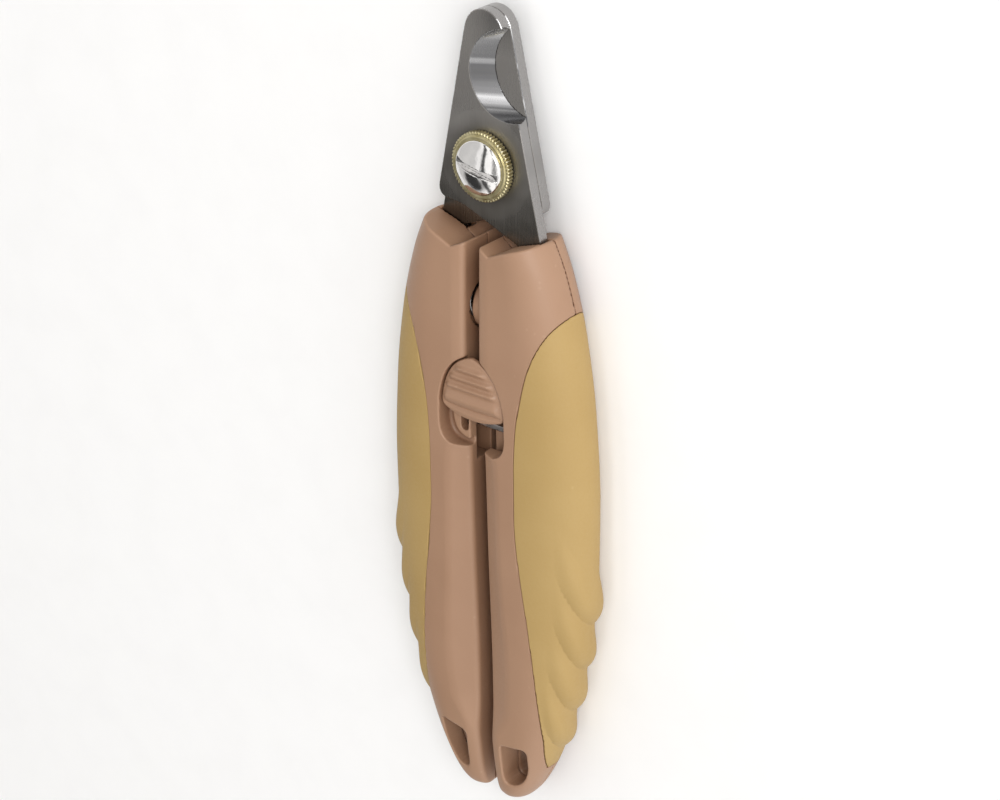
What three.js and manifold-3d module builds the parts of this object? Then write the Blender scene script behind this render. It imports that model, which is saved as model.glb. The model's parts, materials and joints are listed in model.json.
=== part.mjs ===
// Pet nail trimmer: two steel blade levers that turn on one pivot, each in a hollow two-shell handle
// with a wrapped soft grip, a compression spring between the handles and a sliding lock.
//
// Millimetres. The working frame has the pivot axis on Z at the origin, +Y towards the blade tip,
// +X towards the right handle and +Z towards the front face, where the lock is. The blades slide
// on each other at z = 0. The trimmer lies on the backs of its handles, and the finished group is
// moved so that the origin is the bottom centre of the whole part.
//
// Mirrored pieces are drawn once for the right handle's front half (x > 0, z > 0).
import * as THREE from 'three';
import { mergeVertices } from 'three/addons/utils/BufferGeometryUtils.js';
import Module from 'manifold-3d';

const wasm = await Module();
wasm.setup();

// ---------- driving dimensions ----------
const CLEARANCE = 0.3; // between pieces that meet
const FINE = 0.15; // half of the parting gap between a handle's two shells
const REACH = 40; // a cutting tool runs this far past what it cuts

const BLADE_GAP = 0.1; // from the sliding plane to each blade
const BLADE_THICK = 2.2;
const BLADE_FACE = BLADE_GAP + BLADE_THICK;
const HEAD_HALF_WIDTH = 9.5; // of the blade head, at the pivot
const HEAD_TAPER = 0.213; // lost from the half width for each millimetre towards the tip
const TIP_RADIUS = 4.3;
const TIP_CENTRE_Y = (HEAD_HALF_WIDTH - TIP_RADIUS * Math.hypot(1, HEAD_TAPER)) / HEAD_TAPER;
const TIP_Y = TIP_CENTRE_Y + TIP_RADIUS;

const HALF_GAP = 1.6; // from the centre plane to each handle's inner side
const HANDLE_TOP = -9;
const HANDLE_END = -131.8;
const CORE_END = -128; // of the form under the grip
const BACK = 6; // depth of the handles' flat backs behind the sliding plane
const GRIP_THICK = 1.8;
const SHELL_WALL = 3.6; // from the grip's outside to the hollow, in the front shells
const BACK_WALL = 3;

const SPRING_AXIS = [-26.9, 0.3]; // y and z
const CUP_RADIUS = 4.9;
const CUP_WALL = 0.8;
const CUP_DEPTH = 8.6; // from the centre plane to the cup's closed end
const SPRING_RADIUS = 3.3; // of the coil's centre line
const SPRING_WIRE = 0.55; // radius of the wire
const SPRING_TURNS = 6;

const UPPER_SCREW = [12, -20];
const LOWER_SCREW = [8.6, -104];
const TANG_PIN = [8, -60];
const POST_RADIUS = 3; // of the posts round the screws and tang pins
const SCREW_SEAT = 3.4; // depth of the screw heads' undersides behind the sliding plane
const CATCH_PIN = [3.2, -46.2];

const PIVOT_RADIUS = 2.6;
const BOLT_HEAD_RADIUS = 5.8;
const NUT_RADIUS = 6.5;
const NUT_TEETH = 36;
const DOME_RADIUS = 5.1;
const DOME_SLOT_TURN = THREE.MathUtils.degToRad(-12);

const POCKET_FLOOR = 5; // height of the lock pocket's floor in the left handle
const POCKET_ROOF = 3.9; // height of the hollow under that floor
const BUTTON_UNDERSIDE = 6.3;
const BUTTON_TOP = 7.4;
const RIB_TOP = 8;
const HOOK_LOW = 2.7;
const HOOK_HIGH = 3.6;
const STEM = [-2.9, -43];

// ---------- materials ----------
const looks = {
  plastic: { color: 0xaf8c73, roughness: 0.45, metalness: 0 },
  grip: { color: 0xbea564, roughness: 0.7, metalness: 0 },
  blade: { color: 0x8c8a86, roughness: 0.3, metalness: 1 },
  steel: { color: 0xb4b4b4, roughness: 0.35, metalness: 1 },
  chrome: { color: 0xe6e6e6, roughness: 0.08, metalness: 1 },
  brass: { color: 0xc8a24a, roughness: 0.3, metalness: 1 },
};

// ---------- solids and booleans ----------
function solid(geometry) {
  const bare = geometry.clone();
  bare.deleteAttribute('normal');
  bare.deleteAttribute('uv');
  const merged = mergeVertices(bare, 1e-4);
  const mesh = new wasm.Mesh({
    numProp: 3,
    vertProperties: new Float32Array(merged.attributes.position.array),
    triVerts: new Uint32Array(merged.index.array),
  });
  return new wasm.Manifold(mesh);
}

function geometryOf(body) {
  const mesh = body.getMesh();
  const geometry = new THREE.BufferGeometry();
  geometry.setAttribute('position', new THREE.BufferAttribute(mesh.vertProperties, 3));
  geometry.setIndex(new THREE.BufferAttribute(mesh.triVerts, 1));
  return geometry;
}

const cut = (body, ...tools) => tools.reduce((rest, tool) => rest.subtract(tool), body);
const join = (body, ...others) => others.reduce((whole, other) => whole.add(other), body);

function mirror(geometry, x, z) {
  const turned = geometry.clone();
  turned.scale(x, 1, z);
  if (x * z < 0) flip(turned);
  return turned;
}

function flip(geometry) {
  const index = geometry.index.array;
  for (let i = 0; i < index.length; i += 3) {
    [index[i], index[i + 1]] = [index[i + 1], index[i]];
  }
}

// ---------- basic shapes ----------
const outline = (points) => new THREE.Shape(points.map(([x, y]) => new THREE.Vector2(x, y)));

function plate(shape, low, high, curveSegments = 8) {
  const options = { depth: high - low, bevelEnabled: false, curveSegments };
  return new THREE.ExtrudeGeometry(shape, options).translate(0, 0, low);
}

function block(x0, x1, y0, y1, z0, z1) {
  const geometry = new THREE.BoxGeometry(x1 - x0, y1 - y0, z1 - z0);
  return geometry.translate((x0 + x1) / 2, (y0 + y1) / 2, (z0 + z1) / 2);
}

function rod([x, y], low, high, radius, sides = 20) {
  const geometry = new THREE.CylinderGeometry(radius, radius, high - low, sides);
  return geometry.rotateX(Math.PI / 2).translate(x, y, (low + high) / 2);
}

function crossRod([y, z], left, right, radius, sides = 24) {
  const geometry = new THREE.CylinderGeometry(radius, radius, right - left, sides);
  return geometry.rotateZ(Math.PI / 2).translate((left + right) / 2, y, z);
}

function turned(profile, sides = 24) {
  const points = profile.map(([radius, height]) => new THREE.Vector2(radius, height));
  return new THREE.LatheGeometry(points, sides).rotateX(Math.PI / 2);
}

// A closed body through rings that have the same number of points, with a fan at each end.
function loft(rings) {
  const count = rings[0].length;
  const points = rings.flat();
  const index = [];
  for (let r = 0; r + 1 < rings.length; r += 1) {
    for (let i = 0; i < count; i += 1) {
      const a = r * count + i;
      const b = r * count + ((i + 1) % count);
      index.push(a, b, a + count, b, b + count, a + count);
    }
  }
  [0, rings.length - 1].forEach((r) => {
    const middle = new THREE.Vector3();
    rings[r].forEach((p) => middle.addScaledVector(p, 1 / count));
    const centre = points.push(middle) - 1;
    for (let i = 0; i < count; i += 1) {
      const a = r * count + i;
      const b = r * count + ((i + 1) % count);
      index.push(...(r === 0 ? [b, a, centre] : [a, b, centre]));
    }
  });
  const geometry = new THREE.BufferGeometry().setFromPoints(points);
  geometry.setIndex(index);
  if (volume(geometry) < 0) flip(geometry);
  return geometry;
}

function volume(geometry) {
  const at = (i) => new THREE.Vector3().fromBufferAttribute(geometry.attributes.position, i);
  let sum = 0;
  for (let i = 0; i < geometry.index.count; i += 3) {
    const [a, b, c] = [0, 1, 2].map((k) => at(geometry.index.getX(i + k)));
    sum += a.dot(b.cross(c)) / 6;
  }
  return sum;
}

// A smooth curve through [y, value] pairs in falling y, which never overshoots them.
function along(pairs) {
  const slope = pairs.slice(1).map(([y, v], i) => (v - pairs[i][1]) / (y - pairs[i][0]));
  const tangent = pairs.map((pair, i) => {
    const before = slope[i - 1] ?? slope[0];
    const after = slope[i] ?? slope[slope.length - 1];
    return before * after > 0 ? (2 * before * after) / (before + after) : 0;
  });
  return (y) => {
    const found = pairs.findIndex(([next]) => y > next);
    const i = Math.min(Math.max((found < 0 ? pairs.length : found) - 1, 0), pairs.length - 2);
    const width = pairs[i + 1][0] - pairs[i][0];
    const t = THREE.MathUtils.clamp((y - pairs[i][0]) / width, 0, 1);
    const bend = (1 - t) * tangent[i] * (1 - t) * t * width - t * tangent[i + 1] * t * (1 - t) * width;
    const rise = t * t * (3 - 2 * t);
    return pairs[i][1] * (1 - rise) + pairs[i + 1][1] * rise + bend;
  };
}

// ---------- the handle's outer form ----------
const outerEdge = along([
  [HANDLE_TOP, 12.3], [-18, 16.3], [-30, 19.5], [-45, 21.8], [-62, 22.8], [-78, 22.6], [-95, 20.5],
  [-108, 17.6], [-119, 14.2], [-126.5, 10.7], [-130.4, 7.8], [HANDLE_END, 5.2],
]);
const frontHeight = along([
  [HANDLE_TOP, 7.3], [-38, 7.9], [-70, 7.9], [-95, 7.4], [-112, 6.6], [-124, 5.4], [-129, 4.5],
  [HANDLE_END, 2.8],
]);
const backHeight = along([
  [HANDLE_TOP, 5.2], [-30, BACK], [-82, BACK], [-112, 5.6], [-124, 5.2], [-129, 4.4], [HANDLE_END, 2.8],
]);
const innerBevelWidth = along([
  [HANDLE_TOP, 1.6], [-50, 1.6], [-56, 3.5], [-100, 4.6], [-108, 4.4], [-115, 1.4],
]);
const innerBevelDrop = along([
  [HANDLE_TOP, 0.6], [-50, 0.6], [-56, 1.8], [-95, 2.3], [-108, 1.9], [-117, 0.8],
]);

// The grip's overlapping scales: each swells slowly towards the handle's end and drops off quickly.
// The valleys between them climb towards the front face.
const SCALE_VALLEYS = [-75, -86.8, -97.2, -107.4, -116.9]; // where they cross the outer edge
const SCALE_HEIGHT = 0.9;
const SCALE_CREST = 0.62; // of the way from one valley to the next
const SCALE_SLANT = 0.5; // how much a valley climbs for each millimetre towards the front
const SCALE_STEP = 2.4; // between the sections that draw the scales
const SCALE_FADE = 8; // distance from the outer edge at which they have died away

function scaleSwell(x, y, z) {
  const arc = Math.hypot(outerEdge(y) - x, z);
  const place = y - Math.sign(z) * SCALE_SLANT * arc;
  const next = SCALE_VALLEYS.findIndex((valley) => place > valley);
  if (next < 1) return 0;
  const t = (place - SCALE_VALLEYS[next - 1]) / (SCALE_VALLEYS[next] - SCALE_VALLEYS[next - 1]);
  const past = Math.max(0, (t - SCALE_CREST) / (1 - SCALE_CREST));
  const bump = t < SCALE_CREST ? Math.sin((t / SCALE_CREST) * (Math.PI / 2)) : Math.sqrt(1 - past ** 2);
  return SCALE_HEIGHT * bump * (1 - THREE.MathUtils.smoothstep(arc, SCALE_FADE / 3, SCALE_FADE));
}

const ROUND_STEPS = 6;
const ROUND_POWER = 0.88; // 1 is an ellipse, less is squarer

// Half of a cross-section, from the inner edge over the flat crest to the outer edge at z = 0.
// SIDE is 1 for the front half and -1 for the back half, which is drawn as seen in a mirror.
function halfSection(y, inset, height, side) {
  const inner = HALF_GAP + inset;
  const outer = outerEdge(y) - inset;
  const crest = height(y) - inset;
  const flatStart = inner + Math.min(4.5, 0.3 * (outer - inner));
  const flatEnd = inner + Math.min(7.5, 0.42 * (outer - inner));
  const bevel = Math.min(innerBevelWidth(y), 0.8 * (flatStart - inner));
  const line = [
    [inner, crest - innerBevelDrop(y)],
    [inner + bevel, crest - 0.2],
    [flatStart, crest],
    [flatEnd, crest],
  ];
  for (let k = 1; k <= ROUND_STEPS; k += 1) {
    const angle = ((k / ROUND_STEPS) * Math.PI) / 2;
    const x = flatEnd + (outer - flatEnd) * Math.sin(angle) ** ROUND_POWER;
    const z = k === ROUND_STEPS ? 0 : crest * Math.cos(angle) ** ROUND_POWER;
    const swell = inset === 0 ? scaleSwell(x, y, side * z) : 0;
    line.push([x + swell * Math.sin(angle), z + swell * (z / crest)]);
  }
  return line;
}

function crossSection(y, inset, frontCrest, backCrest) {
  const front = halfSection(y, inset, frontCrest, 1);
  const back = halfSection(y, inset, backCrest, -1).slice(0, -1).reverse();
  return [...front, ...back.map(([x, z]) => [x, -z])].map(([x, z]) => new THREE.Vector3(x, y, z));
}

function stations(top, end, inset) {
  const all = [-9, -18, -30, -38, -50, -56, -66, -82, -94, -108, -116, -122, -127, -130.4];
  const scaleStart = SCALE_VALLEYS[0] + SCALE_SLANT * SCALE_FADE;
  const scaleEnd = SCALE_VALLEYS[SCALE_VALLEYS.length - 1] - SCALE_SLANT * SCALE_FADE;
  const ys = all.filter((y) => inset > 0 || y > scaleStart || y < scaleEnd);
  for (let y = scaleStart; inset === 0 && y > scaleEnd; y -= SCALE_STEP) ys.push(y);
  const inside = ys.filter((y) => y < top - 1 && y > end + 0.8);
  return [top, ...inside.sort((a, b) => b - a), end];
}

// The handle's form, INSET smaller all round. A shell is cut from a form with its own face on both sides.
function handleBody(inset, front, back, top = HANDLE_TOP, end = HANDLE_END) {
  return solid(loft(stations(top, end, inset).map((y) => crossSection(y, inset, front, back))));
}

// ---------- outlines seen from the front ----------
// Above this line the handle's end is open for the blade: a low peak at the inner side, a V and a rise.
// The rear shell's outer corner is lower than the front shell's.
const topCut = (front) => outline([
  [-1, -12.6], [HALF_GAP, -13.6], [4.25, -14.8], [8.3, -13.1], [12.3, front ? -11.8 : -12.6],
  [REACH, front ? -8 : -12.6], [REACH, 5], [-1, 5],
]);

// The soft grip covers the handle outboard of this line.
const GRIP_LINE = [
  [21.6, -20.5], [18.6, -24], [15.9, -27.8], [13.3, -33.6], [11.6, -40], [10.3, -48], [9.9, -56], [9.9, -65],
  [10.8, -76], [12.3, -87], [13.6, -101], [14, -113], [13.5, -118], [12.6, -123.5],
];
function gripZone(shift) {
  const line = GRIP_LINE.map(([x, y]) => [x - shift, y]);
  const low = GRIP_LINE[GRIP_LINE.length - 1][1];
  const outside = [[REACH, low - shift], [REACH, GRIP_LINE[0][1] + shift]];
  return solid(plate(outline([...line, ...outside]), -REACH, REACH));
}

const hangHole = () => {
  const shape = new THREE.Shape();
  shape.moveTo(4.3, -119);
  shape.quadraticCurveTo(4.3, -117.9, 5.4, -117.7);
  shape.lineTo(9.2, -117);
  shape.quadraticCurveTo(10.4, -116.9, 10.4, -118.2);
  shape.lineTo(10.2, -121.5);
  shape.quadraticCurveTo(9, -127.2, 5.6, -127.2);
  shape.quadraticCurveTo(4.3, -127.2, 4.3, -125);
  shape.closePath();
  return solid(plate(shape, -REACH, REACH, 3));
};

// The lock pocket: the button's outline with clearance, lengthened downwards by the lock's travel.
const pocketShape = () => {
  const shape = new THREE.Shape();
  shape.moveTo(-1, -35.2);
  shape.lineTo(0, -35.2);
  shape.quadraticCurveTo(6.3, -36.2, 7.65, -45.4);
  shape.lineTo(7.7, -50);
  shape.quadraticCurveTo(7.5, -54.3, 3.4, -54.3);
  shape.lineTo(-1, -54.3);
  shape.closePath();
  return shape;
};

// ---------- blades ----------
const headEdge = (y) => HEAD_HALF_WIDTH - HEAD_TAPER * y;

const TANG_OUTER = [[12.1, -12.2], [14.2, -18], [14.4, -33], [11, -42], [10.9, -63]];
const TANG_TIP = [[9.6, -65.4], [6.6, -65.4], [5.3, -63]];
const TANG_CATCH = [[5.3, -52], [2.1, -50.2], [2.1, -42.6], [5.3, -40.4]]; // carries the catch pin
const TANG_INNER = [[9.3, -34.6], [9.3, -20.6], [6.9, -15.4]];

function bladeShape(withCatch) {
  const shape = new THREE.Shape();
  const tangent = Math.atan(HEAD_TAPER);
  shape.moveTo(headEdge(-5.5), -5.5);
  shape.absarc(0, TIP_CENTRE_Y, TIP_RADIUS, tangent, Math.PI - tangent, false);
  shape.lineTo(-headEdge(-5.5), -5.5);
  shape.quadraticCurveTo(-headEdge(-8.2), -8.2, -8.6, -8.3);
  shape.lineTo(-5, -8.7);
  shape.lineTo(6.9, -13.6);
  const inner = withCatch ? [...TANG_TIP, ...TANG_CATCH, ...TANG_INNER] : [...TANG_TIP, ...TANG_INNER];
  [...inner.reverse(), ...[...TANG_OUTER].reverse()].forEach(([x, y]) => shape.lineTo(x, y));
  shape.closePath();
  return shape;
}

// The nail notch: an arc open to the side, ground to a slanted bevel with its edge at the sliding plane.
function notch() {
  const arc = (x, y, radius, z) => {
    const ring = [];
    for (let k = 0; k <= 14; k += 1) {
      const angle = Math.PI / 2 + (k / 14) * Math.PI;
      ring.push(new THREE.Vector3(x + radius * Math.cos(angle), y + radius * Math.sin(angle), z));
    }
    ring.push(new THREE.Vector3(REACH, y - radius, z), new THREE.Vector3(REACH, y + radius, z));
    return ring;
  };
  const edge = arc(9.6, 18.2, 8.7, BLADE_GAP);
  const face = arc(4.9, 17.1, 8.2, BLADE_FACE);
  const past = (from, to, share) => from.map((p, i) => p.clone().lerp(to[i], share));
  return solid(loft([past(edge, face, -0.2), edge, face, past(edge, face, 1.2)]));
}

function blade(withCatch) {
  const holes = [
    rod([0, 0], -REACH, REACH, PIVOT_RADIUS + CLEARANCE, 28),
    rod(UPPER_SCREW, -REACH, REACH, 1.4, 16),
    rod(TANG_PIN, -REACH, REACH, 1.8, 16),
  ];
  if (withCatch) holes.push(rod(CATCH_PIN, -REACH, REACH, 1.1, 14));
  const flat = solid(plate(bladeShape(withCatch), BLADE_GAP, BLADE_FACE));
  return geometryOf(cut(flat, notch(), ...holes.map(solid)));
}

// ---------- handle shells and grips ----------
// The outline of a tang pocket: the tang drawn CLEARANCE larger, by shifting each side outwards.
function tangPocket(withCatch) {
  const side = withCatch ? [...TANG_CATCH, ...TANG_INNER] : TANG_INNER;
  const points = [
    ...[[12.1, -8], ...TANG_OUTER].map(([x, y]) => [x + 0.4, y]),
    [10, -65.4 - CLEARANCE], [6.3, -65.4 - CLEARANCE],
    ...[TANG_TIP[2], ...side].map(([x, y]) => [x - 0.4, y]),
    [6.5, -8],
  ];
  return solid(plate(outline(points), -1, BLADE_FACE + CLEARANCE));
}

function shell(right, front) {
  const height = front ? frontHeight : backHeight;
  const full = handleBody(0, height, height);
  const underGrip = handleBody(GRIP_THICK + CLEARANCE, height, height, HANDLE_TOP, CORE_END);
  let body = cut(full, cut(gripZone(CLEARANCE), underGrip), solid(plate(topCut(front), -REACH, REACH)));
  body = cut(body, solid(block(-REACH, REACH, -200, 50, -REACH, FINE)), hangHole());
  body = cut(body, handleBody(front ? SHELL_WALL : BACK_WALL, height, height, -17.5, -113));
  const postTop = front ? 5.2 : 3.6;
  const posts = [
    rod(UPPER_SCREW, FINE, postTop, POST_RADIUS, 16),
    rod(LOWER_SCREW, FINE, postTop, POST_RADIUS, 16),
    rod(TANG_PIN, FINE, postTop, POST_RADIUS, 16),
  ];
  body = join(body, ...posts.map(solid));
  const [springY, springZ] = SPRING_AXIS;
  const boreAxis = [springY, front ? springZ : -springZ];
  body = cut(body, solid(crossRod(boreAxis, -1, CUP_DEPTH + CLEARANCE, CUP_RADIUS + CLEARANCE)));
  if (right === front) body = cut(body, tangPocket(right));
  body = cut(body, solid(rod(TANG_PIN, -1, front ? 4.8 : 4.3, 1.8, 16)));
  body = front ? cut(body, ...threadHoles()) : cut(body, ...headHoles());
  if (front) body = right ? catchPocket(body) : buttonPocket(body);
  return mirror(geometryOf(body), right ? 1 : -1, front ? 1 : -1);
}

const threadHoles = () => [
  solid(rod(UPPER_SCREW, -1, 4.6, 1.3, 14)),
  solid(rod(LOWER_SCREW, -1, 3.9, 1.3, 14)),
];

const headHoles = () => [
  solid(rod(UPPER_SCREW, -1, REACH, 1.3, 14)),
  solid(rod(LOWER_SCREW, -1, REACH, 1.3, 14)),
  solid(rod(UPPER_SCREW, SCREW_SEAT - CLEARANCE, REACH, 2.5, 18)),
  solid(rod(LOWER_SCREW, SCREW_SEAT - CLEARANCE, REACH, 2.5, 18)),
];

// Right handle: the pocket is open down to the tang, with room under the skin for the lock's hook.
const catchPocket = (body) =>
  cut(
    body,
    solid(plate(pocketShape(), BLADE_FACE + CLEARANCE, REACH)),
    solid(block(-1, 7.2, -58.8, -50, BLADE_FACE + CLEARANCE, 4.2)),
  );

// Left handle: the pocket has a floor with a raised boss, slotted for the button's stem.
function buttonPocket(body) {
  const boss = block(-2, 5.6, -52.6, -33, POCKET_FLOOR - 1, BUTTON_UNDERSIDE - CLEARANCE);
  const floored = cut(body, cut(solid(plate(pocketShape(), POCKET_FLOOR, REACH)), solid(boss)));
  const hookRoom = block(-1, 9.4, -57.8, -39.4, -1, POCKET_ROOF);
  const stemSlot = block(-STEM[0] - 1.1, -STEM[0] + 1.1, -51.9, -39.6, 0, REACH);
  return cut(floored, solid(hookRoom), solid(stemSlot));
}

function grip(right) {
  const zone = gripZone(0);
  const core = handleBody(GRIP_THICK, frontHeight, backHeight, HANDLE_TOP, CORE_END);
  const body = cut(handleBody(0, frontHeight, backHeight).intersect(zone), core);
  return mirror(geometryOf(body), right ? 1 : -1, 1);
}

// ---------- spring between the handles ----------
function springCup(mouth) {
  const open = CUP_RADIUS - CUP_WALL;
  const cup = cut(
    solid(crossRod(SPRING_AXIS, mouth, CUP_DEPTH, CUP_RADIUS)),
    solid(crossRod(SPRING_AXIS, -REACH, CUP_DEPTH - 1, open)),
  );
  return geometryOf(join(cup, solid(crossRod(SPRING_AXIS, CUP_DEPTH - 4, CUP_DEPTH - 0.5, 2.2, 12))));
}

class CoilCurve extends THREE.Curve {
  getPoint(t, target = new THREE.Vector3()) {
    const reach = CUP_DEPTH - 1 - CLEARANCE - SPRING_WIRE;
    const angle = t * SPRING_TURNS * 2 * Math.PI;
    return target.set(
      THREE.MathUtils.lerp(-reach, reach, t),
      SPRING_AXIS[0] + SPRING_RADIUS * Math.cos(angle),
      SPRING_AXIS[1] + SPRING_RADIUS * Math.sin(angle),
    );
  }
}

function handleSpring() {
  const wire = new THREE.Shape().absarc(0, 0, SPRING_WIRE, 0, 2 * Math.PI, false);
  const steps = SPRING_TURNS * 12;
  const extrudePath = new CoilCurve();
  return new THREE.ExtrudeGeometry(wire, { steps, extrudePath, curveSegments: 3, bevelEnabled: false });
}

// ---------- pivot ----------
function pivotBolt() {
  const head = turned([
    [0, -5], [3.4, -5], [BOLT_HEAD_RADIUS - 0.4, -4.4], [BOLT_HEAD_RADIUS, -3.6],
    [BOLT_HEAD_RADIUS, -BLADE_FACE - CLEARANCE / 2], [PIVOT_RADIUS, -BLADE_FACE - CLEARANCE / 2],
    [PIVOT_RADIUS, 3.6], [0, 3.6],
  ], 28);
  return geometryOf(cut(solid(head), solid(rod([0, 0], -1, REACH, 1.5, 16))));
}

function knurledNut() {
  const ring = new THREE.Shape();
  for (let k = 0; k < 2 * NUT_TEETH; k += 1) {
    const radius = k % 2 ? NUT_RADIUS - 0.3 : NUT_RADIUS;
    const angle = (k * Math.PI) / NUT_TEETH;
    ring[k ? 'lineTo' : 'moveTo'](radius * Math.cos(angle), radius * Math.sin(angle));
  }
  ring.holes.push(new THREE.Path().absarc(0, 0, PIVOT_RADIUS + CLEARANCE, 0, 2 * Math.PI, true));
  return plate(ring, BLADE_FACE + CLEARANCE / 2, 3.9, 14);
}

function domeScrew() {
  const profile = [[0, 0.2], [1.2, 0.2], [1.2, 4.1], [DOME_RADIUS, 4.1], [DOME_RADIUS, 4.4]];
  for (let k = 1; k <= 4; k += 1) {
    const angle = (k / 4) * (Math.PI / 2);
    profile.push([k === 4 ? 0 : DOME_RADIUS * Math.cos(angle), 4.4 + 1.9 * Math.sin(angle)]);
  }
  const slot = block(-REACH, REACH, -0.5, 0.5, 5.2, REACH).rotateZ(DOME_SLOT_TURN);
  return geometryOf(cut(solid(turned(profile, 28)), solid(slot)));
}

// ---------- fasteners ----------
function handleScrew([x, y], side, end) {
  const profile = [
    [0, -SCREW_SEAT - 1.4], [1.7, -SCREW_SEAT - 1.4], [2.1, -SCREW_SEAT - 1], [2.1, -SCREW_SEAT],
    [1, -SCREW_SEAT], [1, end - 0.6], [0, end],
  ];
  return turned(profile, 14).translate(side * x, y, 0);
}

const tangPin = (side) => rod([side * TANG_PIN[0], TANG_PIN[1]], -4, 4.5, 1.5, 16);

// ---------- lock ----------
function buttonShape() {
  const shape = new THREE.Shape();
  shape.moveTo(0, -35.7);
  shape.quadraticCurveTo(6, -36.8, 7.25, -45.5);
  shape.quadraticCurveTo(7.3, -47, 6, -47.3);
  shape.quadraticCurveTo(0, -49.2, -6, -47.3);
  shape.quadraticCurveTo(-7.3, -47, -7.25, -45.5);
  shape.quadraticCurveTo(-6, -36.8, 0, -35.7);
  return shape;
}

// The shield-shaped cap with ribs across it, its stem and the round peg that the hook sits on.
function lockButton() {
  const cap = solid(plate(buttonShape(), BUTTON_UNDERSIDE, BUTTON_TOP));
  const ribs = [-38.4, -40.6, -42.8, -45].map((y) =>
    solid(block(-4.4, 4.4, y - 0.5, y + 0.5, BUTTON_TOP - 0.3, RIB_TOP)),
  );
  const [x, y] = STEM;
  const stem = solid(block(x - 0.8, x + 0.8, y - 1.5, y + 1.5, POCKET_ROOF, BUTTON_UNDERSIDE + 0.5));
  const peg = solid(rod(STEM, 1.5, POCKET_ROOF + 0.5, 0.8, 12));
  return geometryOf(join(cap, ...ribs, stem, peg));
}

function lockHook() {
  const shape = outline([
    [-5.5, -40.5], [-5.5, -50.8], [6.3, -50.8], [6.3, -47.9], [4.8, -47.9], [4.8, -49.6],
    [-1, -49.6], [-1, -40.5],
  ]);
  return geometryOf(cut(solid(plate(shape, HOOK_LOW, HOOK_HIGH)), solid(rod(STEM, 0, REACH, 1.1, 14))));
}

function pushNut() {
  const ring = new THREE.Shape().absarc(...STEM, 2.2, 0, 2 * Math.PI, false);
  ring.holes.push(new THREE.Path().absarc(...STEM, 1.1, 0, 2 * Math.PI, true));
  return plate(ring, 1.9, HOOK_LOW - CLEARANCE, 8);
}

// A bowed leaf beside the hook: it presses on the hook's edge and holds the lock where it is put.
function detentSpring() {
  const bow = (offset) => [0, 0.25, 0.5, 0.75, 1].map((t) => [
    -8.2 + offset + 2 * Math.sin(t * Math.PI), -41.5 - 14 * t,
  ]);
  const shape = outline([...bow(-0.4), ...bow(0).reverse()]);
  return plate(shape, HOOK_LOW, HOOK_HIGH);
}

function catchPin() {
  return turned([[0, 0.3], [0.8, 0.3], [0.8, 2.5], [1.2, 2.5], [1.2, 4.2], [0.9, 4.5], [0, 4.5]], 14)
    .translate(CATCH_PIN[0], CATCH_PIN[1], 0);
}

// ---------- assembly ----------
function piece(name, geometry, look) {
  const mesh = new THREE.Mesh(geometry, new THREE.MeshStandardMaterial(looks[look]));
  mesh.name = name;
  return mesh;
}

const leftLever = new THREE.Group();
leftLever.add(
  piece('rear_blade', blade(false).rotateY(Math.PI), 'blade'),
  piece('pivot_bolt', pivotBolt(), 'steel'),
  piece('knurled_nut', knurledNut(), 'brass'),
  piece('dome_screw', domeScrew(), 'chrome'),
  piece('left_front_shell', shell(false, true), 'plastic'),
  piece('left_rear_shell', shell(false, false), 'plastic'),
  piece('left_grip', grip(false), 'grip'),
  piece('left_spring_socket', mirror(springCup(HALF_GAP), -1, 1), 'plastic'),
  piece('left_tang_pin', tangPin(-1), 'steel'),
  piece('left_upper_screw', handleScrew(UPPER_SCREW, -1, 4.2), 'steel'),
  piece('left_lower_screw', handleScrew(LOWER_SCREW, -1, 3.6), 'steel'),
  piece('handle_spring', handleSpring(), 'steel'),
  piece('lock_detent_spring', detentSpring(), 'steel'),
);

const lock = new THREE.Group();
lock.add(
  piece('lock_button', lockButton(), 'plastic'),
  piece('lock_hook', lockHook(), 'steel'),
  piece('lock_push_nut', pushNut(), 'steel'),
);

const rightLever = new THREE.Group();
rightLever.add(
  piece('front_blade', blade(true), 'blade'),
  piece('catch_pin', catchPin(), 'steel'),
  piece('right_front_shell', shell(true, true), 'plastic'),
  piece('right_rear_shell', shell(true, false), 'plastic'),
  piece('right_grip', grip(true), 'grip'),
  piece('right_spring_cup', springCup(-HALF_GAP + CLEARANCE), 'plastic'),
  piece('right_tang_pin', tangPin(1), 'steel'),
  piece('right_upper_screw', handleScrew(UPPER_SCREW, 1, 4.2), 'steel'),
  piece('right_lower_screw', handleScrew(LOWER_SCREW, 1, 3.6), 'steel'),
);

const trimmer = new THREE.Group();
trimmer.add(leftLever, lock, rightLever);
trimmer.position.set(0, -(TIP_Y + HANDLE_END) / 2, BACK);

export default trimmer;
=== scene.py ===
"""Pet nail trimmer, closed and locked, lying on the backs of its handles on a pale floor.

Lengths in the shape functions are millimetres in the trimmer's working frame: the pivot axis at
x = y = 0, +Y towards the blade tip, +Z out of the front face, the blades sliding at z = 0.
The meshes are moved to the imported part's frame, in metres, when they are made.
"""
import json
import math

import bpy
import numpy as np
from mathutils import Matrix, Vector


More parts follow.
